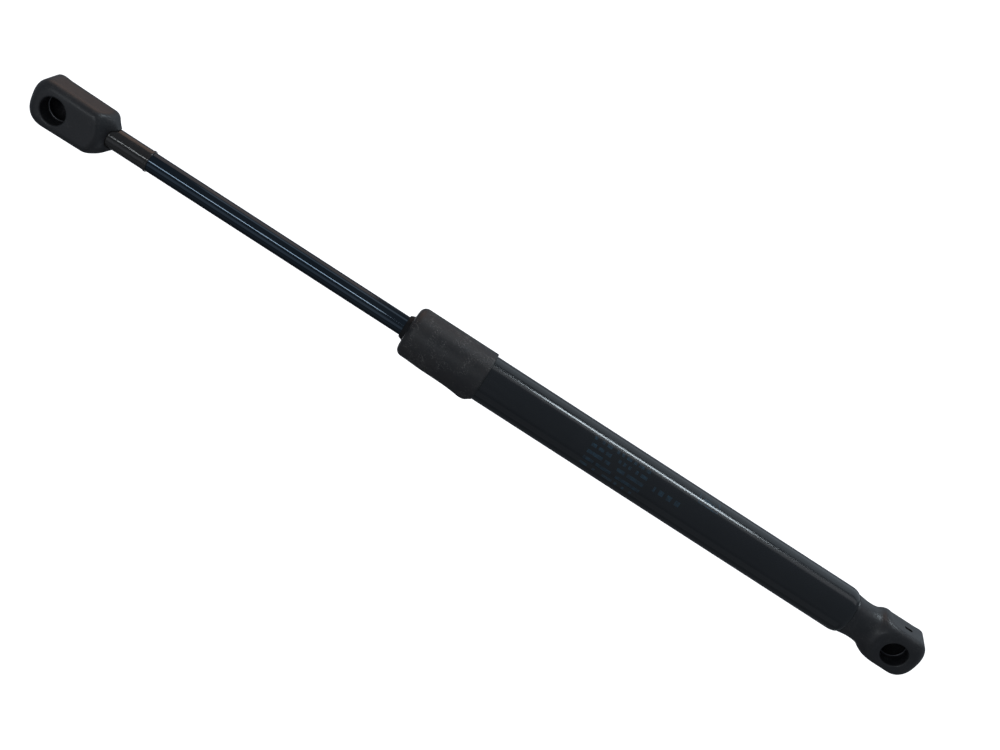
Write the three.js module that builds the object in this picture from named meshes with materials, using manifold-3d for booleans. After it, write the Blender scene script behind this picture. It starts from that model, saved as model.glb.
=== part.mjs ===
// Gas strut stay: a sealed gas spring with a ball socket at each end, fully extended.
// Millimetres. X runs along the strut with the rod end at +X, and both ball mouths open towards +Z.
// The origin is on the strut's axis, midway between the two tips.
import * as THREE from 'three';
import { mergeVertices } from 'three/addons/utils/BufferGeometryUtils.js';
import Module from 'manifold-3d';

const wasm = await Module();
wasm.setup();

// ---- Driving sizes
const stroke = 110;
const gap = 0.1; // left between fixed pieces that touch
const slip = 0.2; // left around the turning and sliding pieces
const fine = 48; // facets round the tube and the cap
const medium = 32; // facets round everything else

const rodRadius = 4;
const threadRadius = 3.6;
const ballRadius = 5;

const tubeRadius = 9.5;
const tubeWall = 1.2;
const boreRadius = tubeRadius - tubeWall;
const deadLength = 88; // tube length that the stroke doesn't use

const sleeve = { length: 15.2, wall: 0.2, bead: 0.46, beadLength: 1.2, hidden: 1.6 };
const cap = { length: 34.1, wall: 0.8, front: 1.3, corner: 2.6 };
const lug = { length: 14.4, peak: 4.2, proud: 0.75, width: 7.5, angle: 27 }; // angle from +Y towards +Z
const collar = { length: 1.9, lip: 4.65, root: 5.35, flange: 7, flangeLength: 1.5 };

const head = { halfWidth: 9.4, face: 8.7, back: 7.1, faceFillet: 3.6, backFillet: 6.2, tipLength: 7.3 };
const seat = { radius: ballRadius + 0.12, mouth: ballRadius + 0.2, chamfer: 0.7 };
const clip = { wire: 0.6, height: 2.2, open: 34 }; // the split ring that keeps the ball in
const rodSocketLength = 33;
const rodHeadTaper = 0.94; // width of its rear end over its width at the ball
const tubeSocketLength = 32.8;
const rodBallDepth = 10.8; // from each tip to the centre of its ball
const tubeBallDepth = 11.2;
const neck = { base: 8.4, waist: 7.86, waistAt: 5.6 };

// ---- Stations along X, from the rod end to the tube end
const exposedRod = stroke + 2.3;
const tubeLength = stroke + deadLength;
const capToTube = cap.front + collar.flangeLength + 2 * gap;
const length = rodSocketLength + sleeve.length + exposedRod + collar.length + capToTube
  + tubeLength + gap + tubeSocketLength;
const rodTip = length / 2;
const tubeTip = -length / 2;
const rodSocketRear = rodTip - rodSocketLength;
const sleeveRear = rodSocketRear - sleeve.length;
const collarFront = sleeveRear - exposedRod;
const capFront = collarFront - collar.length;
const tubeFront = capFront - capToTube;
const tubeRear = tubeFront - tubeLength;
const tubeSocketFront = tubeTip + tubeSocketLength;
const rodBall = rodTip - rodBallDepth;
const tubeBall = tubeTip + tubeBallDepth;

const lip = 1.4; // thickness of the rolled lip at both ends of the tube
const guideFront = tubeFront - lip - gap;
const guide = { length: 11, boss: 5.4, bushRadius: 5.1, bushLength: 8 };
const guideRear = guideFront - guide.length;
const sealLength = 4.2;
const backingLength = 1.2;
const sealRear = guideRear - gap - sealLength;
const backingRear = sealRear - gap - backingLength;
const bead = { width: 2.4, depth: 0.7 }; // rolled into the tube behind the seal pack
const beadCentre = backingRear - gap - bead.width / 2 - 0.2;
const plug = { length: 11, boss: 5.2, stud: 15 };
const plugRear = tubeRear + lip + gap;
const plugFront = plugRear + plug.length;

const spigot = 2.6; // radius of the rod's inner end, which carries the piston
const washer = { radius: 6.5, length: 1.2 };
const orifice = { radius: 7.2, length: 1 };
const piston = { radius: boreRadius - 0.3, length: 8.4, groove: 3, grooveRadius: 6.5 };
const nut = { radius: 5, length: 3.6 };
const shoulder = beadCentre - bead.width / 2 - 4; // where the piston stack starts
const washerRear = shoulder - gap - washer.length;
const orificeRear = washerRear - gap - orifice.length;
const pistonRear = orificeRear - gap - piston.length;
const nutRear = pistonRear - gap - nut.length;
const grooveCentre = (orificeRear - gap + pistonRear) / 2;

// ---- Shape helpers
function solid(geometry) {
  const bare = new THREE.BufferGeometry();
  bare.setAttribute('position', geometry.getAttribute('position').clone());
  if (geometry.index) bare.setIndex(geometry.index.clone());
  const merged = mergeVertices(bare, 1e-4);
  const corners = merged.index.array;
  const kept = [];
  for (let i = 0; i < corners.length; i += 3) {
    const [a, b, c] = corners.slice(i, i + 3);
    if (a !== b && b !== c && c !== a) kept.push(a, b, c);
  }
  return new wasm.Manifold(new wasm.Mesh({
    numProp: 3,
    vertProperties: new Float32Array(merged.getAttribute('position').array),
    triVerts: new Uint32Array(kept),
  }));
}

// Points [along, radius] on an arc, with angles in degrees from the along direction.
function arc(along, radius, size, from, to, steps = 6, squash = 1) {
  const points = [];
  for (let i = 0; i <= steps; i += 1) {
    const angle = THREE.MathUtils.degToRad(from + ((to - from) * i) / steps);
    points.push([along + size * squash * Math.cos(angle), radius + size * Math.sin(angle)]);
  }
  return points;
}

// Turns a closed outline of [along, radius] points about the Y axis.
function turned(outline, facets) {
  const area = outline.reduce((sum, [a, r], i) => {
    const [nextA, nextR] = outline[(i + 1) % outline.length];
    return sum + r * nextA - nextR * a;
  }, 0);
  const ordered = area > 0 ? outline : [...outline].reverse();
  const points = [...ordered, ordered[0]].map(([a, r]) => new THREE.Vector2(Math.max(r, 0), a));
  return new THREE.LatheGeometry(points, facets);
}

function roundX(outline, facets = medium) {
  return solid(turned(outline, facets).rotateZ(-Math.PI / 2));
}

function roundZ(outline, x, facets = medium) {
  return solid(turned(outline, facets).rotateX(Math.PI / 2).translate(x, 0, 0));
}

// A ring between two radii and two stations, with its outer edges broken.
function collarRing(front, rear, inner, outer, edge = 0.2) {
  return roundX([
    [front, inner], [rear, inner], [rear, outer - edge], [rear + edge, outer],
    [front - edge, outer], [front, outer - edge],
  ]);
}

function roundWire(x, ringRadius, wire) {
  return roundX(arc(x, ringRadius, wire, 0, 324, 9));
}

// ---- Ball sockets
const headSection = [
  [-head.back, 0],
  ...arc(-head.back + head.backFillet, head.halfWidth - head.backFillet, head.backFillet, 180, 90),
  ...arc(head.face - head.faceFillet, head.halfWidth - head.faceFillet, head.faceFillet, 90, 0),
  [head.face, 0],
];

// The block round a ball: a blunt round tip and sides that run, and may narrow, to the rear station.
function headBlock(tip, rear, taper = 1) {
  const centre = tip + Math.sign(rear - tip) * head.tipLength;
  const stretch = [head.tipLength / head.halfWidth, 1, 1];
  const tipEnd = roundZ(headSection, 0).scale(stretch).translate([centre, 0, 0]);
  const section = new THREE.Shape([
    ...headSection.map(([z, y]) => new THREE.Vector2(y, z)),
    ...headSection.slice(1, -1).reverse().map(([z, y]) => new THREE.Vector2(-y, z)),
  ]);
  const sides = new THREE.ExtrudeGeometry(section, { depth: Math.abs(rear - centre), bevelEnabled: false });
  sides.rotateX(Math.PI / 2).rotateZ(Math.PI / 2).translate(Math.min(centre, rear), 0, 0);
  const corners = sides.getAttribute('position');
  for (let i = 0; i < corners.count; i += 1) {
    const isRear = Math.abs(corners.getX(i) - rear) < 0.01;
    if (isRear) corners.setY(i, corners.getY(i) * taper);
  }
  return tipEnd.add(solid(sides));
}

// Everything that a ball and its clip take out of a head. The clip's slot opens to one side.
function ballCavity(x, slotSide) {
  const { radius, mouth, chamfer } = seat;
  const ball = solid(new THREE.SphereGeometry(radius, medium, 16).rotateX(Math.PI / 2).translate(x, 0, 0));
  const entry = roundZ([
    [0, 0], [0, mouth], [head.face - chamfer, mouth],
    [head.face + 0.1, mouth + chamfer + 0.1], [head.face + 0.1, 0],
  ], x);
  const half = clip.wire + slip / 2;
  const grooveRadius = clipRadius() + half;
  const groove = roundZ([
    [clip.height - half, 0], [clip.height - half, grooveRadius],
    [clip.height + half, grooveRadius], [clip.height + half, 0],
  ], x);
  const slot = new THREE.Shape([
    new THREE.Vector2(-1.7, 0), new THREE.Vector2(1.7, 0),
    new THREE.Vector2(1.7, head.halfWidth + 1), new THREE.Vector2(-1.7, head.halfWidth + 1),
  ]);
  const slotCut = new THREE.ExtrudeGeometry(slot, { depth: 2 * half, bevelEnabled: false });
  slotCut.scale(1, slotSide, slotSide).translate(x, 0, clip.height - slotSide * half);
  return ball.add(entry).add(groove).add(solid(slotCut));
}

// The clip's wire lies against the ball above its widest part.
function clipRadius() {
  return Math.sqrt((ballRadius + clip.wire) ** 2 - clip.height ** 2) + 0.02;
}

class ClipLine extends THREE.Curve {
  constructor(x, openAt) {
    super();
    this.x = x;
    this.openAt = openAt;
  }

  getPoint(t, target = new THREE.Vector3()) {
    const angle = THREE.MathUtils.degToRad(this.openAt + clip.open / 2 + (360 - clip.open) * t);
    return target.set(this.x + clipRadius() * Math.cos(angle), clipRadius() * Math.sin(angle), clip.height);
  }
}

function socketClip(x, openAt) {
  const wire = new THREE.Shape().absarc(0, 0, clip.wire, 0, 2 * Math.PI);
  return solid(new THREE.ExtrudeGeometry(wire, {
    steps: 32, curveSegments: 5, extrudePath: new ClipLine(x, openAt), bevelEnabled: false,
  }));
}

function rodSocket() {
  const rear = rodSocketRear;
  const rim = sleeveOuter + 0.5;
  const dome = [
    [rear, 0], [rear, rim], [rear + 0.7, 5.4], [rear + 1.5, 6.25], [rear + 2.9, 7.6], [rear + 4.4, 8.75],
    [rear + 5.8, 9.55], [rear + 7.4, 10.25], [rear + 10, 11.1], [rear + 13, 11.7],
    [rodTip + 1, 11.7], [rodTip + 1, 0],
  ];
  const bore = roundX([
    [rear - 1, 0], [rear - 1, sleeveOuter + gap], [rear + sleeve.hidden + gap, sleeveOuter + gap],
    [rear + sleeve.hidden + gap, threadRadius + gap], [rodThreadTip + gap, threadRadius + gap],
    [rodThreadTip + 1.2, threadRadius - 1], [rodThreadTip + 1.2, 0],
  ]);
  const block = headBlock(rodTip, rear, rodHeadTaper).intersect(roundX(dome));
  return block.subtract(bore).subtract(ballCavity(rodBall, 1));
}

function tubeSocket() {
  const base = tubeSocketFront;
  const { waist, waistAt } = neck;
  const shoulderLine = [
    [base, 0], [base, neck.base - 0.25], [base - 0.25, neck.base], [base - 1.4, neck.base - 0.1],
    [base - 3, waist + 0.22], [base - waistAt + 0.8, waist + 0.02], [base - waistAt, waist],
    [base - waistAt - 1.8, waist + 0.04], [base - waistAt - 3.4, waist + 0.26],
    [base - waistAt - 4.8, waist + 0.75],
    [base - waistAt - 6.4, waist + 1.6], [base - waistAt - 8, waist + 2.3],
    [base - waistAt - 9.8, waist + 2.8],
    [base - waistAt - 12, waist + 3.2], [base - waistAt - 15.5, waist + 3.7], [tubeTip - 1, waist + 3.7],
    [tubeTip - 1, 0],
  ];
  // The straight sides stop inside the neck, which is turned.
  const turnedNeck = roundX(shoulderLine);
  const neckOnly = roundX([[base, 0], [base, 30], [base - waistAt - 2.4, 30], [base - waistAt - 2.4, 0]]);
  const neckRound = turnedNeck.intersect(neckOnly);
  const bore = roundX([
    [base + 1, 0], [base + 1, threadRadius + gap], [studTip - gap, threadRadius + gap],
    [studTip - 1.2, threadRadius - 1], [studTip - 1.2, 0],
  ]);
  const block = headBlock(tubeTip, base - waistAt - 1).intersect(turnedNeck);
  return block.add(neckRound).subtract(bore).subtract(ballCavity(tubeBall, -1));
}

// ---- Turned pieces
const sleeveInner = rodRadius + 0.04;
const sleeveOuter = sleeveInner + sleeve.wall;
const rodThreadTip = rodBall - seat.radius - 3;
const studTip = Math.max(tubeSocketFront - plug.stud, tubeBall + seat.radius + 2.6);

function pistonRod() {
  return roundX([
    [rodThreadTip, 0], [rodThreadTip, threadRadius - 0.8], [rodThreadTip - 0.8, threadRadius],
    [rodSocketRear + sleeve.hidden, threadRadius], [rodSocketRear + sleeve.hidden - 0.4, rodRadius],
    [shoulder + 0.3, rodRadius], [shoulder, rodRadius - 0.3], [shoulder, spigot],
    [nutRear - 0.7, spigot], [nutRear - 1, spigot - 0.3], [nutRear - 1, 0],
  ]);
}

function rodSleeve() {
  const front = rodSocketRear + sleeve.hidden;
  const { bead: height, beadLength } = sleeve;
  const beadMiddle = sleeveRear + beadLength / 2;
  return roundX([
    [front, sleeveInner], [front, sleeveOuter], [sleeveRear + beadLength + 0.5, sleeveOuter],
    ...arc(beadMiddle, sleeveInner + height / 2, height / 2, 60, 180, 5, beadLength / height),
    [sleeveRear, sleeveInner],
  ]);
}

function pressureTube() {
  const half = bead.width / 2;
  const beadLine = (radius, depth) => [
    [beadCentre + half, radius], [beadCentre + half * 0.5, radius - depth * 0.75],
    [beadCentre, radius - depth], [beadCentre - half * 0.5, radius - depth * 0.75],
    [beadCentre - half, radius],
  ];
  const rearRoll = { length: 3.4, drop: tubeRadius - neck.base };
  return roundX([
    [tubeFront, collar.flange + gap], ...arc(tubeFront - 1.2, tubeRadius - 1.2, 1.2, 0, 90, 4),
    ...beadLine(tubeRadius, bead.depth),
    [tubeRear + rearRoll.length, tubeRadius],
    [tubeRear + rearRoll.length * 0.55, tubeRadius - rearRoll.drop * 0.16],
    [tubeRear + rearRoll.length * 0.22, tubeRadius - rearRoll.drop * 0.5],
    [tubeRear + 0.1, tubeRadius - rearRoll.drop * 0.9], [tubeRear, tubeRadius - rearRoll.drop],
    [tubeRear, plug.boss + gap], [tubeRear + lip, plug.boss + gap], [tubeRear + lip, boreRadius - 0.6],
    [tubeRear + lip + 0.6, boreRadius],
    ...beadLine(boreRadius, bead.depth).reverse(),
    [tubeFront - lip - 0.6, boreRadius], [tubeFront - lip, boreRadius - 0.6],
    [tubeFront - lip, collar.flange + gap],
  ], fine);
}

function endPlug() {
  const grooveMiddle = (plugRear + plugFront) / 2;
  const outer = boreRadius - gap;
  return roundX([
    [plugFront, 0], [plugFront, outer - 0.8], [plugFront - 0.8, outer], [grooveMiddle + 1.4, outer],
    [grooveMiddle + 1.4, outer - 1.9], [grooveMiddle - 1.4, outer - 1.9], [grooveMiddle - 1.4, outer],
    [plugRear + 0.8, outer], [plugRear, outer - 0.8], [plugRear, plug.boss], [tubeRear + gap, plug.boss],
    [tubeRear + gap, threadRadius], [studTip + 0.8, threadRadius], [studTip, threadRadius - 0.8],
    [studTip, 0],
  ]);
}

function wiperRing() {
  const front = capFront - cap.front - gap;
  const rear = front - collar.flangeLength;
  const inner = rodRadius + slip;
  return roundX([
    [collarFront, inner + 0.1], [collarFront, collar.lip - 0.15], [collarFront - 0.15, collar.lip],
    [capFront, collar.root], [front, collar.root], [front, collar.flange], [rear, collar.flange],
    [rear, inner + 0.9], [rear + 1.4, inner + 0.5], [collarFront - 1, inner + 0.5],
  ]);
}

function guardCap() {
  const outer = tubeRadius + gap + cap.wall;
  const inner = tubeRadius + gap;
  const rear = capFront - cap.length;
  const innerCorner = cap.corner - cap.wall;
  const wall = roundX([
    [capFront, collar.root + gap], ...arc(capFront - cap.corner, outer - cap.corner, cap.corner, 0, 90, 6),
    [rear + 0.7, outer], [rear + 0.2, outer - 0.2], [rear, outer - 0.6], [rear, inner],
    ...arc(capFront - cap.front - innerCorner, inner - innerCorner, innerCorner, 90, 0, 5),
    [capFront - cap.front, collar.root + gap],
  ], fine);
  return wall.add(capLug(outer, rear)).subtract(tubeSpace(inner));
}

// The catch near the cap's open end, at the direction that the cap's seam faces.
function capLug(outer, rear) {
  const line = new THREE.Shape();
  line.moveTo(rear + lug.length, outer - 0.4);
  line.quadraticCurveTo(rear + lug.peak + 4, outer + lug.proud, rear + lug.peak, outer + lug.proud);
  line.quadraticCurveTo(rear, outer + lug.proud - 0.1, rear + 0.1, tubeRadius + 0.4);
  line.lineTo(rear + lug.length, tubeRadius - 2);
  const body = new THREE.ExtrudeGeometry(line, {
    depth: lug.width - 1, curveSegments: 8, bevelSize: 0.3, bevelThickness: 0.5, bevelSegments: 2,
  });
  body.translate(0, 0, -lug.width / 2 + 0.5).rotateX(THREE.MathUtils.degToRad(lug.angle));
  return solid(body);
}

function tubeSpace(radius) {
  const front = capFront - cap.front;
  return roundX([
    [front, 0], [front, radius - 2], [front - 2, radius], [tubeRear, radius], [tubeRear, 0],
  ], fine);
}

function rodGuide() {
  const outer = boreRadius - gap;
  const middle = (guideFront + guideRear) / 2 - 1.5;
  const bushEnd = guideFront - guide.bushLength - gap;
  return roundX([
    [guideFront, guide.bushRadius + gap], [guideFront, outer - 0.8], [guideFront - 0.8, outer],
    [middle + 1, outer], [middle + 1, outer - 1.4], [middle - 1, outer - 1.4], [middle - 1, outer],
    [guideRear, outer], [guideRear, rodRadius + 0.5], [bushEnd, rodRadius + 0.5],
    [bushEnd, guide.bushRadius + gap],
  ]);
}

function rodSeal() {
  const front = guideRear - gap;
  const outer = boreRadius - gap;
  const inner = rodRadius + slip;
  return roundX([
    [front, inner + 0.5], [front - 1.4, inner + 0.1], [front - 2, inner + 0.1], [front - 2.6, inner + 0.5],
    [sealRear, inner + 0.8], [sealRear, inner + 1.5], [front - 2.2, inner + 1.9], [sealRear, outer - 1.2],
    [sealRear, outer - 0.3], [sealRear + 0.3, outer], [front - 0.3, outer], [front, outer - 0.3],
  ]);
}

function pistonBody() {
  const front = orificeRear - gap;
  const { radius, groove, grooveRadius } = piston;
  const inner = spigot + gap;
  return roundX([
    [front, inner], [front, radius - 0.6], [front - 0.6, radius], [grooveCentre + groove / 2, radius],
    [grooveCentre + groove / 2, grooveRadius], [grooveCentre - groove / 2, grooveRadius],
    [grooveCentre - groove / 2, radius], [pistonRear + 0.6, radius], [pistonRear, radius - 0.6],
    [pistonRear, inner],
  ]);
}

function orificeDisc() {
  const front = washerRear - gap;
  let disc = collarRing(front, orificeRear, spigot + gap, orifice.radius);
  for (const turn of [30, 150, 270]) {
    const hole = turned([[-2, 0], [-2, 0.6], [2, 0.6], [2, 0]], 12).rotateZ(-Math.PI / 2);
    hole.translate((front + orificeRear) / 2, 4.9, 0).rotateX(THREE.MathUtils.degToRad(turn));
    disc = disc.subtract(solid(hole));
  }
  return disc;
}

function pistonNut() {
  const across = new THREE.Shape();
  for (let i = 0; i < 6; i += 1) {
    const angle = (i * Math.PI) / 3;
    across.lineTo(nut.radius * Math.cos(angle), nut.radius * Math.sin(angle));
  }
  const corners = across.getPoints().slice(1);
  const depth = nut.length;
  const block = new THREE.ExtrudeGeometry(new THREE.Shape(corners), { depth, bevelEnabled: false });
  block.rotateY(Math.PI / 2).translate(nutRear, 0, 0);
  const edge = nut.radius * 0.93;
  const round = roundX([
    [pistonRear - gap, spigot + gap], [pistonRear - gap, edge], [pistonRear - gap - 0.5, nut.radius],
    [nutRear + 0.5, nut.radius], [nutRear, edge], [nutRear, spigot + gap],
  ]);
  return solid(block).intersect(round);
}

// ---- Finishes: colour, roughness, metalness
const finishes = {
  blackPaint: ['#101318', 0.3, 0.1],
  blackRod: ['#20252d', 0.2, 0.9],
  blackPlastic: ['#1b1c1f', 0.6, 0],
  greyPlastic: ['#8c8f92', 0.55, 0],
  rubber: ['#161616', 0.85, 0],
  steel: ['#9a9c9f', 0.35, 1],
  springSteel: ['#b9bbbe', 0.28, 1],
  brass: ['#b08d4c', 0.35, 1],
  aluminium: ['#b7b9bb', 0.4, 1],
};

const oRing = { wire: 0.72 };
const guideMiddle = (guideFront + guideRear) / 2 - 1.5;
const plugMiddle = (plugRear + plugFront) / 2;

function guideBush() {
  return collarRing(guideFront, guideFront - guide.bushLength, rodRadius + slip, guide.bushRadius);
}

function pistonRing() {
  const half = 1.3;
  const inner = piston.grooveRadius + 0.15;
  return collarRing(grooveCentre + half, grooveCentre - half, inner, boreRadius - gap);
}

const pieces = [
  ['pressure_tube', pressureTube(), 'blackPaint'],
  ['guard_cap', guardCap(), 'blackPlastic'],
  ['wiper_ring', wiperRing(), 'rubber'],
  ['rod_guide', rodGuide(), 'aluminium'],
  ['guide_bush', guideBush(), 'brass'],
  ['guide_o_ring', roundWire(guideMiddle, boreRadius - gap - 0.66, 0.62), 'rubber'],
  ['rod_seal', rodSeal(), 'rubber'],
  ['seal_backing_ring', collarRing(sealRear - gap, backingRear, rodRadius + 0.5, boreRadius - gap), 'steel'],
  ['end_plug', endPlug(), 'steel'],
  ['end_plug_o_ring', roundWire(plugMiddle, boreRadius - gap - oRing.wire - 0.1, oRing.wire), 'rubber'],
  ['tube_socket', tubeSocket(), 'blackPlastic'],
  ['tube_socket_clip', socketClip(tubeBall, 0), 'springSteel'],
  ['piston_ring', pistonRing(), 'greyPlastic'],
  ['piston_rod', pistonRod(), 'blackRod'],
  ['rod_sleeve', rodSleeve(), 'blackPlastic'],
  ['rod_socket', rodSocket(), 'blackPlastic'],
  ['rod_socket_clip', socketClip(rodBall, 180), 'springSteel'],
  ['support_washer', collarRing(shoulder - gap, washerRear, spigot + gap, washer.radius), 'steel'],
  ['orifice_disc', orificeDisc(), 'brass'],
  ['piston', pistonBody(), 'steel'],
  ['piston_nut', pistonNut(), 'steel'],
];

function meshOf(name, shape, finish) {
  const { vertProperties, triVerts } = shape.getMesh();
  const geometry = new THREE.BufferGeometry();
  geometry.setAttribute('position', new THREE.BufferAttribute(vertProperties, 3));
  geometry.setIndex(new THREE.BufferAttribute(triVerts, 1));
  const [color, roughness, metalness] = finishes[finish];
  const mesh = new THREE.Mesh(geometry, new THREE.MeshStandardMaterial({ color, roughness, metalness }));
  mesh.name = name;
  return mesh;
}

const part = new THREE.Group();
part.name = 'gas_strut_stay';
part.add(...pieces.map(([name, shape, finish]) => meshOf(name, shape, finish)));
export default part;
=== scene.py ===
"""The looks of a gas strut stay, a black gas spring with a ball socket at each end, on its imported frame.

Metres, in the frame of the CAD: X runs along the strut, with the rod end at +X and both mouths facing +Z.
"""
import math

import bmesh
import bpy
import numpy as np
from mathutils import Matrix, Vector


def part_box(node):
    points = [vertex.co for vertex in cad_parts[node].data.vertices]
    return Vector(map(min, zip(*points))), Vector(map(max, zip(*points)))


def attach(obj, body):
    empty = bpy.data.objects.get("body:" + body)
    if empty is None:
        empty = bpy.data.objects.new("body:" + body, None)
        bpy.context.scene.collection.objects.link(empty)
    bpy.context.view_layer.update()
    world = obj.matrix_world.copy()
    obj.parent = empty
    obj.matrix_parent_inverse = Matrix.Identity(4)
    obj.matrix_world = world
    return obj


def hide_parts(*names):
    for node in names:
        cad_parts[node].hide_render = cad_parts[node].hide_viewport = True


MM = 0.001

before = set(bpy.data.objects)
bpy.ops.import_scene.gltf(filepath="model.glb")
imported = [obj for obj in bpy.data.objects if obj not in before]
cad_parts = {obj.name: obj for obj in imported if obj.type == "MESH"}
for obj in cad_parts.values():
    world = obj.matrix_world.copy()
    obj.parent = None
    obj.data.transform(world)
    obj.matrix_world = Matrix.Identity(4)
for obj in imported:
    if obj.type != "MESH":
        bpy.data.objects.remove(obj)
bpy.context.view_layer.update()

# ---- Sizes read from the frame
tube_low, tube_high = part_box("pressure_tube")
cap_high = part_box("guard_cap")[1]
wiper_low, wiper_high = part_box("wiper_ring")
rod_low, rod_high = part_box("piston_rod")
sleeve_low, sleeve_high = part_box("rod_sleeve")
rod_head_low, rod_head_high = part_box("rod_socket")
tube_head_low, tube_head_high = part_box("tube_socket")
rod_clip_low, rod_clip_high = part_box("rod_socket_clip")
tube_clip_low, tube_clip_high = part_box("tube_socket_clip")
washer_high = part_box("support_washer")[1]

ROD_TIP = rod_head_high.x
TUBE_TIP = tube_head_low.x
TUBE_RADIUS = tube_high.z
CAP_RADIUS = cap_high.z
ROD_RADIUS = rod_high.z
HALF_WIDTH = rod_head_high.y
FACE = rod_head_high.z
BACK = -rod_head_low.z
ROD_BALL = (rod_clip_low.x + rod_clip_high.x) / 2
TUBE_BALL = (tube_clip_low.x + tube_clip_high.x) / 2
CLIP_HEIGHT = (rod_clip_low.z + rod_clip_high.z) / 2
CLIP_WIRE = (rod_clip_high.z - rod_clip_low.z) / 2
CLIP_RADIUS = rod_clip_high.y - CLIP_WIRE

# ---- Sizes that the looks add to it
GAP = 0.1 * MM  # between fixed pieces that touch
TUBE_WALL = 1.2 * MM
TUBE_LIP = 1.4 * MM
TUBE_FRONT_EDGE = 1.2 * MM
TUBE_FRONT_HOLE = 7.1 * MM
TUBE_REAR_HOLE = 5.3 * MM
TUBE_ROLL = 3.4 * MM  # length of its rounded rear end
TUBE_DROP = 1.1 * MM  # how much the radius falls over that end
CAP_LENGTH = 34.1 * MM
CAP_FRONT_WALL = 1.3 * MM
CAP_HOLE = 5.5 * MM
CAP_CORNER = 2.9 * MM
CAP_REAR_EDGE = 0.5 * MM
CAP_INNER_CORNER = 1.7 * MM
WIPER_SLIP = 0.15 * MM  # between its inside and the rod
WIPER_TIP_RADIUS = 4.5 * MM
WIPER_LIP_RADIUS = 5.36 * MM
WIPER_FLANGE_RADIUS = 7 * MM
WIPER_FLANGE_DEPTH = 1.4 * MM  # from the cap's front to the flange inside it
THREAD_RADIUS = 3.6 * MM
THREAD_CHAMFER = 0.8 * MM
SPIGOT_RADIUS = 2.6 * MM
SLEEVE_SLIP = 0.04 * MM
SLEEVE_WALL = 0.2 * MM
SLEEVE_HIDDEN = 3.6 * MM  # how much further than in the CAD it runs into its socket
SLEEVE_BEAD_LENGTH = 1.2 * MM
SLEEVE_BEAD_HEIGHT = 0.24 * MM
FACE_FILLET = 3.6 * MM
BACK_FILLET = 6.2 * MM
TIP_FACE_FILLET = 4.8 * MM
TIP_BACK_FILLET = 2.2 * MM
ROD_TIP_LENGTH = 8.6 * MM
TUBE_TIP_LENGTH = 7.5 * MM
ROD_TIP_SQUARENESS = 2.7  # 2 is an ellipse
TUBE_TIP_SQUARENESS = 2.5
ROD_HEAD_TAPER = 0.94
BALL_SEAT = 5.12 * MM
MOUTH = 5.2 * MM
MOUTH_ROUND = 0.7 * MM
LUG_ANGLE = math.radians(27)  # from +Y towards +Z
LUG_SPREAD = math.radians(24)
LUG_STATIONS = (0, 0.7, 2, 4.2, 7, 10.6, 16, 23, 30, 40)  # mm from the cap's rear
LUG_RIDGE = (9.75, 10.15, 11.1, 11.55, 11.3, 11, 10.85, 10.75, 10.4, 10.4)  # radius in mm
SADDLE = 2.3 * MM
SADDLE_FADE = 7 * MM

# The print on the tube, in mm. Each area is (from, to) along the tube and then (from, to) round it.
PRINT_TURN = math.radians(28)
PRINT_ROW = 2.9  # from one row of dashes to the next
PRINT_CELL = 1.1  # length of the shortest dash
PRINT_PITCH = 3.6  # from one square to the next
PRINT_LINE = 0.5  # width of the frame's line
PRINT_ROWS = (45, 70, -5.4, 9.1)
PRINT_SQUARES = (73.8, 87, -0.4, 1.6)
PRINT_FRAME = (91, 100, -9.4, -4.4)
PRINT_BAR = (93, 98, -7.7, -6.1)


# ---- Mesh helpers
def finish_mesh(bm, name, sharp_degrees=38):
    """A new object from bm, smooth apart from its sharper edges."""
    bmesh.ops.recalc_face_normals(bm, faces=bm.faces)
    for face in bm.faces:
        face.smooth = True
    for edge in bm.edges:
        edge.smooth = len(edge.link_faces) == 2 and edge.calc_face_angle() < math.radians(sharp_degrees)
    mesh = bpy.data.meshes.new(name)
    bm.to_mesh(mesh)
    bm.free()
    piece = bpy.data.objects.new(name, mesh)
    bpy.context.scene.collection.objects.link(piece)
    return piece


def skin_rings(bm, rings, closed=False):
    """Faces between rings of vertices. A ring of one vertex is a pole."""
    pairs = list(zip(rings, rings[1:]))
    if closed:
        pairs.append((rings[-1], rings[0]))
    for first, second in pairs:
        count = max(len(first), len(second))
        for i in range(count):
            corners = [
                first[i % len(first)],
                first[(i + 1) % len(first)],
                second[(i + 1) % len(second)],
                second[i % len(second)],
            ]
            unique = list(dict.fromkeys(corners))
            if len(unique) > 2:
                bm.faces.new(unique)


def turned(outline, segments=160, axis="X", centre=0.0, closed=False):
    """A bmesh of (along, radius) points turned about X, or about a line along Z at x = centre."""
    bm = bmesh.new()
    rings = []
    for along, radius in outline:
        count = 1 if radius < 1e-7 else segments
        ring = []
        for i in range(count):
            angle = 2 * math.pi * i / segments
            a, b = radius * math.cos(angle), radius * math.sin(angle)
            ring.append(bm.verts.new((along, a, b) if axis == "X" else (centre + a, b, along)))
        rings.append(ring)
    skin_rings(bm, rings, closed)
    return bm


def arc(along, radius, size, start, end, steps=8):
    """(along, radius) points on an arc, with angles in degrees from the along direction."""
    angles = [math.radians(start + (end - start) * i / steps) for i in range(steps + 1)]
    return [(along + size * math.cos(a), radius + size * math.sin(a)) for a in angles]


def place(piece, node, body, slot_name, material):
    """Puts a piece on its body in the place of its CAD node."""
    piece.data.materials.clear()
    piece.data.materials.append(material)
    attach(piece, body)
    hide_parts(node)


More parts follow.
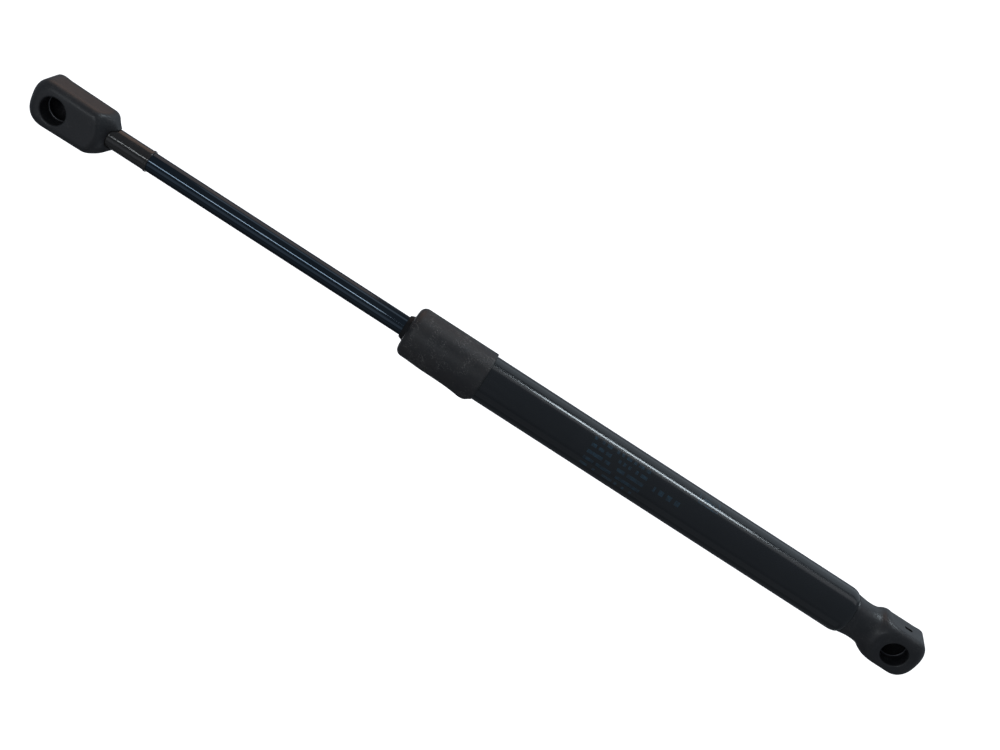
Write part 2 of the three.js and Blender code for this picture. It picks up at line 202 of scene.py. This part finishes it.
def cut(piece, cutters):
    """Takes the cutters out of the piece for good, and deletes them."""
    for cutter in cutters:
        modifier = piece.modifiers.new("cut", "BOOLEAN")
        modifier.object = cutter
        modifier.solver = "EXACT"
    depsgraph = bpy.context.evaluated_depsgraph_get()
    bm = bmesh.new()
    bm.from_object(piece, depsgraph)
    name = piece.name
    for used in [piece, *cutters]:
        bpy.data.objects.remove(used)
    return finish_mesh(bm, name)


# ---- Node helpers
class Nodes:
    """Short calls for building a material."""

    def __init__(self, name):
        self.material = bpy.data.materials.new(name)
        self.material.use_nodes = True
        self.tree = self.material.node_tree
        self.shader = self.tree.nodes["Principled BSDF"]
        self.place = self.tree.nodes.new("ShaderNodeTexCoord").outputs["Object"]

    def new(self, kind, inputs=None, **settings):
        node = self.tree.nodes.new(kind)
        for key, value in settings.items():
            setattr(node, key, value)
        for key, value in (inputs or {}).items():
            self.put(node.inputs[key], value)
        return node

    def put(self, socket, value):
        if isinstance(value, bpy.types.NodeSocket):
            self.tree.links.new(value, socket)
        else:
            socket.default_value = value

    def noise(self, scale, detail=4.0, rough=0.55, stretch=(1, 1, 1), turn=(0, 0, 0)):
        """Noise on the object's own coordinates, turned and then stretched."""
        turned_place = self.new(
            "ShaderNodeVectorRotate", {"Vector": self.place, "Rotation": turn}, rotation_type="EULER_XYZ",
        ).outputs["Vector"]
        place = self.new("ShaderNodeMapping", {"Vector": turned_place, "Scale": stretch}).outputs["Vector"]
        inputs = {"Vector": place, "Scale": scale, "Detail": detail, "Roughness": rough}
        return self.new("ShaderNodeTexNoise", inputs).outputs["Fac"]

    def ramp(self, value, low, high, start=0.0, end=1.0):
        """value from low..high mapped to start..end, and held there outside it."""
        inputs = {"Value": value, "From Min": low, "From Max": high, "To Min": start, "To Max": end}
        return self.new("ShaderNodeMapRange", inputs).outputs["Result"]

    def mix(self, factor, first, second):
        node = self.new("ShaderNodeMix", data_type="RGBA")
        self.put(node.inputs["Factor"], factor)
        self.put(node.inputs[6], first)
        self.put(node.inputs[7], second)
        return node.outputs[2]

    def math(self, operation, first, second=0.0):
        node = self.new("ShaderNodeMath", operation=operation)
        self.put(node.inputs[0], first)
        self.put(node.inputs[1], second)
        return node.outputs[0]

    def within(self, value, low, high):
        """1 where value is between low and high, and 0 elsewhere."""
        above = self.math("GREATER_THAN", value, low)
        return self.math("MULTIPLY", above, self.math("LESS_THAN", value, high))

    def bump(self, height, distance, strength=1.0, under=None):
        inputs = {"Height": height, "Distance": distance, "Strength": strength}
        if under is not None:
            inputs["Normal"] = under
        return self.new("ShaderNodeBump", inputs).outputs["Normal"]

    def shade(self, **values):
        for key, value in values.items():
            self.put(self.shader.inputs[key.replace("_", " ")], value)
        return self.material


# ---- Materials
def printed_marks(n):
    """How strongly faded print covers the tube: rows of plain dashes, a row of squares and a framed bar."""
    place = n.new("ShaderNodeSeparateXYZ", {"Vector": n.place})
    x, y, z = (place.outputs[name] for name in "XYZ")
    turn = n.math("ADD", n.math("ARCTAN2", y, z), PRINT_TURN)
    u = n.math("MULTIPLY", x, -1 / MM)
    v = n.math("MULTIPLY", turn, TUBE_RADIUS / MM)

    def block(start, end, low, high):
        return n.math("MULTIPLY", n.within(u, start, end), n.within(v, low, high))

    row = n.math("DIVIDE", n.math("SUBTRACT", v, PRINT_ROWS[2]), PRINT_ROW)
    cell = n.new("ShaderNodeCombineXYZ", {
        "X": n.math("FLOOR", n.math("DIVIDE", u, PRINT_CELL)), "Y": n.math("FLOOR", row),
    })
    chance = n.new("ShaderNodeTexWhiteNoise", {"Vector": cell.outputs["Vector"]}).outputs["Value"]
    inked = n.math("GREATER_THAN", chance, 0.3)
    dashes = n.math("MULTIPLY", inked, n.within(n.math("FRACT", row), 0.25, 0.72))
    marks = n.math("MULTIPLY", dashes, block(*PRINT_ROWS))
    squares = n.within(n.math("FRACT", n.math("DIVIDE", u, PRINT_PITCH)), 0.2, 0.75)
    marks = n.math("MAXIMUM", marks, n.math("MULTIPLY", squares, block(*PRINT_SQUARES)))
    start, end, low, high = PRINT_FRAME
    hollow = block(start + PRINT_LINE, end - PRINT_LINE, low + PRINT_LINE, high - PRINT_LINE)
    marks = n.math("MAXIMUM", marks, n.math("SUBTRACT", block(*PRINT_FRAME), hollow))
    marks = n.math("MAXIMUM", marks, block(*PRINT_BAR))
    return n.math("MULTIPLY", marks, n.ramp(n.noise(500, 4, 0.7), 0.35, 0.65, 0.15, 0.8))


def black_paint():
    n = Nodes("black_paint")
    cloud = n.noise(45, 5, 0.6)
    fine = n.noise(900, 3, 0.6)
    base = n.mix(n.ramp(cloud, 0.35, 0.7), (0.0085, 0.0105, 0.0130, 1), (0.0120, 0.0140, 0.0165, 1))
    marks = printed_marks(n)
    colour = n.mix(n.math("MULTIPLY", marks, 0.45), base, (0.045, 0.13, 0.20, 1))
    scuff = n.ramp(n.noise(260, 6, 0.7, (0.25, 1, 1)), 0.62, 0.8)
    roughness = n.math("ADD", n.ramp(cloud, 0.3, 0.75, 0.13, 0.2), n.math("MULTIPLY", scuff, 0.2))
    peel = n.bump(n.noise(700, 2, 0.5), 0.00002, 0.1)
    normal = n.bump(fine, 0.00001, 0.1, peel)
    return n.shade(Base_Color=colour, Roughness=roughness, Normal=normal, IOR=1.5)


def rod_steel():
    n = Nodes("black_rod")
    lines = n.noise(2600, 2, 0.5, (1, 0.05, 0.05))
    cloud = n.noise(30, 3, 0.5)
    colour = n.mix(n.ramp(cloud, 0.35, 0.65), (0.03, 0.042, 0.056, 1), (0.042, 0.054, 0.068, 1))
    roughness = n.ramp(lines, 0.35, 0.7, 0.06, 0.10)
    normal = n.bump(lines, 0.000001, 0.04)
    return n.shade(Base_Color=colour, Metallic=1.0, Roughness=roughness, Normal=normal)


def hairlines(n, turn):
    """Fine straight scratches that all run one way."""
    streaks = n.ramp(n.noise(2600, 1, 0.3, (0.035, 1, 1), turn), 0.64, 0.72)
    patches = n.ramp(n.noise(180, 2, 0.5), 0.47, 0.58)
    return n.math("MULTIPLY", streaks, patches)


def scuffed_plastic(name, dark, light, low, high, dust):
    """Moulded plastic: mottled, with hairline scratches, dust specks and a fine spark-eroded grain."""
    n = Nodes(name)
    cloud = n.noise(150, 6, 0.7)
    grain = n.noise(2200, 2, 0.5)
    specks = n.ramp(n.noise(1300, 3, 0.7), 0.63, 0.7)
    scratches = hairlines(n, (0, 1.0, 0.1))
    for turn in ((0, -0.45, -0.1), (0.1, 0.1, 0.8)):
        scratches = n.math("MAXIMUM", scratches, hairlines(n, turn))
    worn = n.math("MAXIMUM", n.math("MULTIPLY", specks, n.ramp(cloud, 0.42, 0.6)), scratches)
    base = n.mix(n.ramp(cloud, 0.3, 0.7), dark, light)
    colour = n.mix(n.math("MULTIPLY", worn, dust), base, (0.20, 0.19, 0.18, 1))
    roughness = n.math("ADD", n.ramp(cloud, 0.3, 0.7, low, high), n.math("MULTIPLY", worn, 0.12))
    normal = n.bump(scratches, 0.00002, 0.25, n.bump(grain, 0.00006, 0.5))
    return n.shade(Base_Color=colour, Roughness=roughness, Normal=normal, IOR=1.48)


def rubber():
    n = Nodes("rubber")
    cloud = n.noise(400, 4, 0.6)
    colour = n.mix(n.ramp(cloud, 0.35, 0.7), (0.006, 0.0065, 0.0075, 1), (0.012, 0.0125, 0.014, 1))
    roughness = n.ramp(cloud, 0.3, 0.7, 0.5, 0.7)
    return n.shade(Base_Color=colour, Roughness=roughness, Normal=n.bump(cloud, 0.00003, 0.3), IOR=1.3)


def turned_metal(name, dark, light, low, high):
    """Bare metal with the fine rings that turning leaves."""
    n = Nodes(name)
    rings = n.noise(3000, 3, 0.6, (1, 0.03, 0.03))
    cloud = n.noise(90, 4, 0.6)
    colour = n.mix(n.ramp(cloud, 0.3, 0.7), dark, light)
    roughness = n.ramp(rings, 0.3, 0.7, low, high)
    return n.shade(Base_Color=colour, Metallic=1.0, Roughness=roughness, Normal=n.bump(rings, 0.00001, 0.3))


PAINT = black_paint()
ROD = rod_steel()
SOCKET = scuffed_plastic(
    "socket_plastic", (0.013, 0.0135, 0.0155, 1), (0.022, 0.0215, 0.023, 1), 0.34, 0.46, 0.12,
)
CAP = scuffed_plastic("cap_plastic", (0.011, 0.0115, 0.014, 1), (0.025, 0.022, 0.0215, 1), 0.42, 0.56, 0.4)
SLEEVE = scuffed_plastic(
    "sleeve_plastic", (0.014, 0.013, 0.013, 1), (0.026, 0.023, 0.021, 1), 0.06, 0.11, 0.1,
)
RUBBER = rubber()
STEEL = turned_metal("steel", (0.42, 0.43, 0.45, 1), (0.55, 0.56, 0.58, 1), 0.25, 0.42)
SPRING = turned_metal("spring_steel", (0.05, 0.05, 0.055, 1), (0.09, 0.09, 0.095, 1), 0.3, 0.45)
ALUMINIUM = turned_metal("guide_metal", (0.6, 0.61, 0.62, 1), (0.72, 0.73, 0.74, 1), 0.3, 0.48)
BRONZE = turned_metal("bush_metal", (0.5, 0.36, 0.16, 1), (0.66, 0.5, 0.25, 1), 0.28, 0.45)
PISTON_RING = scuffed_plastic("ring_plastic", (0.4, 0.41, 0.42, 1), (0.55, 0.56, 0.57, 1), 0.4, 0.55, 0.2)


# ---- Tube, cap, wiper, rod and sleeve
def make_tube():
    front, rear = tube_high.x, tube_low.x
    edge = TUBE_FRONT_EDGE
    bore = TUBE_RADIUS - TUBE_WALL
    outline = [(front, TUBE_FRONT_HOLE), *arc(front - edge, TUBE_RADIUS - edge, edge, 0, 90)]
    outline += [(front - 2 * MM, TUBE_RADIUS), (rear + TUBE_ROLL + 1 * MM, TUBE_RADIUS)]
    steps = 12
    for i in range(steps + 1):
        angle = math.pi / 2 * i / steps
        outline.append((
            rear + TUBE_ROLL * (1 - math.sin(angle)), TUBE_RADIUS - TUBE_DROP * (1 - math.cos(angle)),
        ))
    outline += [(rear, TUBE_REAR_HOLE), (rear + TUBE_LIP, TUBE_REAR_HOLE), (rear + TUBE_LIP, bore)]
    outline += [(front - TUBE_LIP, bore), (front - TUBE_LIP, TUBE_FRONT_HOLE)]
    return finish_mesh(turned(outline, closed=True), "tube_body")


def make_cap():
    """Turned, with a lug swelling out of one side near its open end."""
    front, rear = cap_high.x, cap_high.x - CAP_LENGTH
    inner = TUBE_RADIUS + GAP
    straight_start, straight_end = front - CAP_CORNER, rear + CAP_REAR_EDGE
    outline = [(front, CAP_HOLE), *arc(straight_start, CAP_RADIUS - CAP_CORNER, CAP_CORNER, 0, 90, 10)]
    steps = 60
    for i in range(1, steps + 1):
        outline.append((straight_start + (straight_end - straight_start) * i / steps, CAP_RADIUS))
    outline += arc(straight_end, CAP_RADIUS - CAP_REAR_EDGE, CAP_REAR_EDGE, 90, 180, 4)[1:]
    outline += [
        (rear, inner), (front - CAP_FRONT_WALL - CAP_INNER_CORNER, inner),
        (front - CAP_FRONT_WALL, inner - CAP_INNER_CORNER), (front - CAP_FRONT_WALL, CAP_HOLE),
    ]
    bm = turned(outline, 192, closed=True)
    for vert in bm.verts:
        radius = math.hypot(vert.co.y, vert.co.z)
        if radius < inner + GAP / 2 or vert.co.x > straight_start:
            continue
        from_rear = (vert.co.x - rear) / MM
        away = abs((math.atan2(vert.co.z, vert.co.y) - LUG_ANGLE + math.pi) % (2 * math.pi) - math.pi)
        side = float(smoothstep(1.4 - away / LUG_SPREAD))
        ridge = float(smooth_line(np.array([from_rear]), LUG_STATIONS, LUG_RIDGE)[0]) * MM
        swell = 1 + side * (ridge - radius) / radius
        vert.co.y *= swell
        vert.co.z *= swell
    return finish_mesh(bm, "cap_body")


def make_wiper():
    """A lip that tapers to the rod, and a flange inside the cap."""
    tip, root = wiper_high.x, cap_high.x
    flange = root - WIPER_FLANGE_DEPTH
    inner = ROD_RADIUS + WIPER_SLIP
    edge = 0.15 * MM
    outline = [
        (tip, inner + 0.1 * MM), (tip, WIPER_TIP_RADIUS), (tip - edge, WIPER_TIP_RADIUS + 0.16 * MM),
        (root + 0.1 * MM, WIPER_LIP_RADIUS - 0.06 * MM), (root - 0.3 * MM, WIPER_LIP_RADIUS),
        (flange, WIPER_LIP_RADIUS), (flange, WIPER_FLANGE_RADIUS), (wiper_low.x, WIPER_FLANGE_RADIUS),
        (wiper_low.x, 5 * MM), (tip - 1 * MM, inner + 0.4 * MM),
    ]
    return finish_mesh(turned(outline, closed=True), "wiper_lip", 50)


def make_rod():
    shoulder = washer_high.x
    sleeve_end = sleeve_high.x + SLEEVE_HIDDEN
    outline = [
        (rod_high.x, 0), (rod_high.x, THREAD_RADIUS - THREAD_CHAMFER),
        (rod_high.x - THREAD_CHAMFER, THREAD_RADIUS), (sleeve_end + 0.4 * MM, THREAD_RADIUS),
        (sleeve_end, ROD_RADIUS), (shoulder + 0.5 * MM, ROD_RADIUS),
        (shoulder + GAP, ROD_RADIUS - 0.4 * MM), (shoulder + GAP, SPIGOT_RADIUS),
        (rod_low.x + 0.3 * MM, SPIGOT_RADIUS), (rod_low.x, SPIGOT_RADIUS - 0.3 * MM), (rod_low.x, 0),
    ]
    return finish_mesh(turned(outline), "rod_bar")


def make_sleeve():
    """A thin sleeve with a rounded bead at its open end."""
    inner = ROD_RADIUS + SLEEVE_SLIP
    outer = inner + SLEEVE_WALL
    half = SLEEVE_BEAD_LENGTH / 2
    bead_centre = sleeve_low.x + half
    end = sleeve_high.x + SLEEVE_HIDDEN
    outline = [(end, inner), (end, outer), (bead_centre + half + 0.02 * MM, outer)]
    steps = 10
    for i in range(steps + 1):
        angle = math.pi * i / steps
        bulge = SLEEVE_BEAD_HEIGHT * math.sin(angle)
        outline.append((bead_centre + half * math.cos(angle), outer + bulge))
    outline.append((sleeve_low.x, inner))
    return finish_mesh(turned(outline, closed=True), "sleeve_body")


# ---- Ball sockets
def smoothstep(value):
    held = np.clip(value, 0, 1)
    return held * held * (3 - 2 * held)


def outside_block(x, y, z, tip, rear, tip_length, squareness, taper):
    """How far points lie outside a head's block, whose fillets change towards its rounded tip."""
    along = (x - tip) * np.sign(rear - tip)
    to_tip = np.maximum(1 - along / tip_length, 0)
    half_width = HALF_WIDTH * (1 - (1 - taper) * np.clip(along / abs(rear - tip), 0, 1))
    bent = (np.abs(y / half_width) ** squareness + to_tip**squareness) ** (1 / squareness)
    side = (bent - 1) * HALF_WIDTH
    tip_share = smoothstep(to_tip)
    face_fillet = FACE_FILLET + (TIP_FACE_FILLET - FACE_FILLET) * tip_share
    back_fillet = BACK_FILLET + (TIP_BACK_FILLET - BACK_FILLET) * tip_share
    fillet = np.where(z > 0, face_fillet, back_fillet)
    depth = np.where(z > 0, z - FACE, -z - BACK)
    a, b = side + fillet, depth + fillet
    return np.hypot(np.maximum(a, 0), np.maximum(b, 0)) + np.minimum(np.maximum(a, b), 0) - fillet


def make_head(name, tip, rear, tip_shape, turned_line, end_rings, taper=1.0, neck_end=0.0, saddle=0.0):
    """A head's outside: its block, limited by a turned line of (distance from the rear, radius) points.

    A saddle pulls the rear in on the faces, and not at the sides.
    """
    to_rear = 1 if rear > tip else -1
    softness = 1.2 * MM
    stations, segments = 140, 168
    share = np.linspace(0, 1, stations + 1)[1:]
    eased = np.where(share < 0.5, 1 - np.cos(share * math.pi), 1 + (share - 0.5) * math.pi)
    eased /= eased[-1]
    x = tip + (rear - tip) * eased
    angles = np.linspace(0, 2 * math.pi, segments, endpoint=False)
    x_grid, angle_grid = np.meshgrid(x, angles, indexing="ij")
    low, high = np.zeros_like(x_grid), np.full_like(x_grid, 16 * MM)
    for _ in range(32):
        middle = (low + high) / 2
        y, z = middle * np.cos(angle_grid), middle * np.sin(angle_grid)
        is_out = outside_block(x_grid, y, z, tip, rear, *tip_shape, taper) > 0
        low, high = np.where(is_out, low, middle), np.where(is_out, middle, high)
    radius = (low + high) / 2
    from_rear = np.abs(x - rear)
    distances, radii = zip(*turned_line)
    limit = smooth_line(from_rear, distances, radii)[:, None]
    if neck_end:
        round_share = 1 - smoothstep((from_rear - neck_end / 2) / (neck_end / 2))[:, None]
        radius += (np.maximum(radius, limit + softness) - radius) * round_share
    blend = np.clip(0.5 + 0.5 * (limit - radius) / softness, 0, 1)
    radius = limit * (1 - blend) + radius * blend - softness * blend * (1 - blend)
    bm = bmesh.new()
    rings = [[bm.verts.new((tip, 0, 0))]]
    for row_x, row_radius in zip(x, radius):
        rings.append([
            bm.verts.new((row_x, r * math.cos(a), r * math.sin(a))) for r, a in zip(row_radius, angles)
        ])
    for end_x, end_radius in end_rings:
        count = 1 if end_radius == 0 else segments
        rings.append([
            bm.verts.new((end_x, end_radius * math.cos(a), end_radius * math.sin(a))) for a in angles[:count]
        ])
    skin_rings(bm, rings)
    for vert in bm.verts:
        reach = math.hypot(vert.co.y, vert.co.z)
        if saddle and reach:
            fade = max(1 - abs(vert.co.x - rear) / SADDLE_FADE, 0) ** 2
            vert.co.x -= to_rear * saddle * fade * float(smoothstep((abs(vert.co.z) / reach - 0.2) / 0.7))
    return finish_mesh(bm, name)


def smooth_line(values, distances, radii):
    """Radii at the given distances, on a curve without corners through the points."""
    distances, radii = np.array(distances), np.array(radii)
    slopes = np.gradient(radii, distances)
    index = np.clip(np.searchsorted(distances, values) - 1, 0, len(distances) - 2)
    step = distances[index + 1] - distances[index]
    t = np.clip((values - distances[index]) / step, 0, 1)
    return (
        radii[index] * (2 * t**3 - 3 * t**2 + 1) + slopes[index] * step * (t**3 - 2 * t**2 + t)
        + radii[index + 1] * (3 * t**2 - 2 * t**3) + slopes[index + 1] * step * (t**3 - t**2)
    )


def cavity_cutters(x, slot_side):
    """The ball's seat with its rounded mouth and the clip's groove, and the slot that reaches the clip."""
    half = CLIP_WIRE + 0.1 * MM
    groove = CLIP_RADIUS + half
    profile = []
    for degrees in range(0, 91, 6):
        angle = math.radians(degrees)
        profile.append((-BALL_SEAT * math.cos(angle), BALL_SEAT * math.sin(angle)))
    profile += [
        (CLIP_HEIGHT - half, MOUTH), (CLIP_HEIGHT - half, groove), (CLIP_HEIGHT + half, groove),
        (CLIP_HEIGHT + half, MOUTH),
    ]
    for i in range(9):
        angle = math.pi / 2 * i / 8
        profile.append((
            FACE - MOUTH_ROUND + MOUTH_ROUND * math.sin(angle), MOUTH + MOUTH_ROUND * (1 - math.cos(angle)),
        ))
    profile += [(FACE + 2 * MM, MOUTH + MOUTH_ROUND), (FACE + 2 * MM, 0)]
    seat = finish_mesh(turned(profile, 128, "Z", x), "seat_cutter")
    bm = bmesh.new()
    bmesh.ops.create_cube(bm, size=1)
    bmesh.ops.scale(bm, vec=(3.4 * MM, 5 * MM, 2 * half), verts=bm.verts)
    bmesh.ops.translate(bm, vec=(x, slot_side * (HALF_WIDTH - 1.5 * MM), CLIP_HEIGHT), verts=bm.verts)
    bmesh.ops.bevel(bm, geom=bm.edges, offset=0.2 * MM, segments=2, affect="EDGES")
    slot = finish_mesh(bm, "slot_cutter")
    return [seat, slot]


def make_rod_socket():
    rear = rod_head_low.x
    # (distance from the rear, radius) in mm
    dome = [
        (0, 4.75), (0.7, 5.4), (1.5, 6.3), (2.9, 7.75), (4.4, 9.1), (5.8, 10.3), (7.4, 11.6), (34, 20),
    ]
    recess = ROD_RADIUS + 0.34 * MM
    deep = rear + 6 * MM
    ends = [(rear, recess + 0.1 * MM), (rear + 0.1 * MM, recess), (deep, recess), (deep, 0)]
    head = make_head(
        "rod_end_socket", ROD_TIP, rear, (ROD_TIP_LENGTH, ROD_TIP_SQUARENESS),
        [(d * MM, r * MM) for d, r in dome], ends, ROD_HEAD_TAPER, saddle=SADDLE,
    )
    return cut(head, cavity_cutters(ROD_BALL, 1))


def make_tube_socket():
    rear = tube_head_high.x
    # (distance from the rear, radius) in mm: the neck, its waist and the shoulder
    line = [
        (0, 8.3), (0.3, 8.4), (1.4, 8.3), (3, 8.08), (4.6, 7.9), (5.8, 7.86), (7.6, 7.9), (9.2, 8.12),
        (10.6, 8.6), (12, 9.55), (13.6, 10.5), (15.4, 11.3), (17.6, 12), (21, 12.7), (33, 14),
    ]
    head = make_head(
        "tube_end_socket", TUBE_TIP, rear, (TUBE_TIP_LENGTH, TUBE_TIP_SQUARENESS),
        [(d * MM, r * MM) for d, r in line], [(rear, 0)],
        neck_end=15 * MM,
    )
    return cut(head, cavity_cutters(TUBE_BALL, -1))


def make_clip(name, x, open_at):
    """A split ring of round wire with rounded ends."""
    gap = math.radians(34)
    steps, segments = 96, 20
    bm = bmesh.new()
    rings = []
    for i in range(-4, steps + 5):
        held = min(max(i, 0), steps)
        angle = open_at + gap / 2 + (2 * math.pi - gap) * held / steps
        past = max(-i, i - steps, 0) / 4
        size = CLIP_WIRE * math.sqrt(max(1 - past * past, 0))
        angle += math.copysign(past * CLIP_WIRE / CLIP_RADIUS, i) if past else 0
        ring = []
        for j in range(segments if size > 1e-6 else 1):
            turn = 2 * math.pi * j / segments
            reach = CLIP_RADIUS + size * math.cos(turn)
            ring.append(bm.verts.new((
                x + reach * math.cos(angle), reach * math.sin(angle), CLIP_HEIGHT + size * math.sin(turn),
            )))
        rings.append(ring)
    skin_rings(bm, rings)
    return finish_mesh(bm, name)


place(make_tube(), "pressure_tube", "tube", "black_paint", PAINT)
place(make_cap(), "guard_cap", "tube", "cap_plastic", CAP)
place(make_wiper(), "wiper_ring", "tube", "rubber", RUBBER)
place(make_rod(), "piston_rod", "rod", "black_rod", ROD)
place(make_sleeve(), "rod_sleeve", "rod", "cap_plastic", SLEEVE)
place(make_rod_socket(), "rod_socket", "rod", "socket_plastic", SOCKET)
place(make_tube_socket(), "tube_socket", "tube", "socket_plastic", SOCKET)
place(make_clip("rod_end_clip", ROD_BALL, math.pi), "rod_socket_clip", "rod", "spring_steel", SPRING)
place(make_clip("tube_end_clip", TUBE_BALL, 0), "tube_socket_clip", "tube", "spring_steel", SPRING)

INNER_FINISHES = {
    "rod_guide": ALUMINIUM, "guide_bush": BRONZE, "guide_o_ring": RUBBER, "rod_seal": RUBBER,
    "seal_backing_ring": STEEL, "end_plug": STEEL, "end_plug_o_ring": RUBBER, "piston_ring": PISTON_RING,
    "support_washer": STEEL, "orifice_disc": BRONZE, "piston": STEEL, "piston_nut": STEEL,
}
for node_name, inner_finish in INNER_FINISHES.items():
    for material_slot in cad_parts[node_name].material_slots:
        material_slot.material = inner_finish


# ---- Camera: nearly square on to the strut, rolled so that the rod end is up and to the left
MOUTH_TURN = math.radians(27.9)  # from the mouths' direction to the camera, about the strut
END_TILT = math.radians(2.94)  # the rod end is that much nearer
ROLL = math.radians(32.91)  # slope of the strut in the picture
DISTANCE = 0.437
OFF_CENTRE = (-4.49 * MM, -1.87 * MM)
FOCAL_SHARE = 1.1496  # focal length over the picture's width

along = Vector((1, 0, 0))
across = Vector((0, math.cos(MOUTH_TURN), math.sin(MOUTH_TURN)))
toward = Vector((0, -math.sin(MOUTH_TURN), math.cos(MOUTH_TURN)))
back = toward * math.cos(END_TILT) + along * math.sin(END_TILT)
level = along * math.cos(END_TILT) - toward * math.sin(END_TILT)
right = -level * math.cos(ROLL) - across * math.sin(ROLL)
up = level * math.sin(ROLL) - across * math.cos(ROLL)

camera_data = bpy.data.cameras.new("camera")
camera_data.sensor_width = 36
camera_data.lens = 36 * FOCAL_SHARE
camera_data.clip_start = 0.01
camera = bpy.data.objects.new("camera", camera_data)
bpy.context.scene.collection.objects.link(camera)
camera_place = back * DISTANCE - right * OFF_CENTRE[0] - up * OFF_CENTRE[1]
camera.matrix_world = Matrix.Translation(camera_place) @ Matrix((right, up, back)).transposed().to_4x4()
bpy.context.scene.camera = camera


# ---- Floor, light and sky
def soft_light(name, position, aim, size, power, colour):
    """A rectangle of light with its long side along the strut."""
    data = bpy.data.lights.new(name, "AREA")
    data.shape = "RECTANGLE"
    data.size, data.size_y = size
    data.energy = power
    data.color = colour
    lamp = bpy.data.objects.new(name, data)
    lamp.visible_camera = False
    bpy.context.scene.collection.objects.link(lamp)
    lamp_back = (position - aim).normalized()
    lamp_right = (along - lamp_back * along.dot(lamp_back)).normalized()
    lamp_up = lamp_back.cross(lamp_right)
    lamp.matrix_world = (
        Matrix.Translation(position) @ Matrix((lamp_right, lamp_up, lamp_back)).transposed().to_4x4()
    )


def around(degrees, distance, x=0.0):
    """A point that far from the strut, turned from the camera's side towards the top of the picture."""
    angle = math.radians(degrees)
    return toward * distance * math.cos(angle) - across * distance * math.sin(angle) + along * x


tube_middle = Vector(((tube_low.x + cap_high.x) / 2, 0, 0))
soft_light("key_strip", around(74, 0.6, -0.18), tube_middle, (0.22, 0.045), 0.85, (0.80, 0.92, 1.0))
soft_light("top_cool", around(112, 0.9, -0.45), tube_middle, (1.1, 0.8), 1.4, (0.78, 0.90, 1.0))
soft_light("top_warm", around(100, 0.9, 0.5), Vector((0.12, 0, 0)), (0.8, 0.7), 1.6, (1.0, 0.66, 0.50))
soft_light("top_soft", around(66, 0.9, -0.25), tube_middle, (1.3, 0.3), 0.85, (0.94, 0.96, 1.0))
soft_light("rod_strip", around(-3, 0.6, 0.235), Vector((0.235, 0, 0)), (0.30, 0.045), 0.52, (0.92, 0.97, 1.0))
soft_light("low_fill", around(-45, 0.8, 0.35), Vector((0.1, 0, 0)), (0.7, 0.4), 0.3, (0.9, 0.93, 1.0))
soft_light("low_side", around(-86, 0.9), Vector((0, 0, 0)), (1.3, 0.5), 0.22, (0.86, 0.93, 1.0))
soft_light("back_soft", around(180, 0.9), Vector((0, 0, 0)), (1.2, 0.35), 2.2, (0.94, 0.96, 1.0))

BACKDROP_RADIUS = 3.0
FLOOR_DEPTH = 1.1
outline = [(-FLOOR_DEPTH, 0), (-FLOOR_DEPTH, 0.75 * BACKDROP_RADIUS)]
for step in range(1, 19):
    angle = math.pi / 2 * step / 18
    outline.append((
        -FLOOR_DEPTH + BACKDROP_RADIUS * (1 - math.cos(angle)),
        BACKDROP_RADIUS * (0.75 + 0.25 * math.sin(angle)),
    ))
outline += [(2 * BACKDROP_RADIUS, 0.8 * BACKDROP_RADIUS), (2.2 * BACKDROP_RADIUS, 0)]
backdrop = finish_mesh(turned(outline, 96, "Z"), "backdrop")
paper = Nodes("backdrop")
tone = paper.mix(paper.ramp(paper.noise(1.5, 3), 0.3, 0.7), (0.9, 0.9, 0.9, 1), (0.93, 0.93, 0.93, 1))
backdrop.data.materials.append(paper.shade(
    Base_Color=tone, Roughness=0.9, Emission_Color=(1, 1, 1, 1), Emission_Strength=1.0,
))
backdrop.visible_diffuse = False
backdrop.visible_glossy = False
backdrop.visible_shadow = False

world = bpy.data.worlds.new("studio")
world.use_nodes = True
sky = world.node_tree.nodes["Background"]
sky.inputs["Strength"].default_value = 0.25
direction = world.node_tree.nodes.new("ShaderNodeSeparateXYZ")
coordinates = world.node_tree.nodes.new("ShaderNodeTexCoord")
world.node_tree.links.new(coordinates.outputs["Generated"], direction.inputs["Vector"])
fade = world.node_tree.nodes.new("ShaderNodeValToRGB")
fade.color_ramp.elements[0].color = (0.78, 0.88, 1.0, 1)
fade.color_ramp.elements[0].position = 0.35
fade.color_ramp.elements[1].color = (0.30, 0.33, 0.37, 1)
fade.color_ramp.elements[1].position = 0.85
world.node_tree.links.new(direction.outputs["Y"], fade.inputs["Fac"])
world.node_tree.links.new(fade.outputs["Color"], sky.inputs["Color"])
bpy.context.scene.world = world
bpy.context.scene.view_settings.view_transform = "Standard"
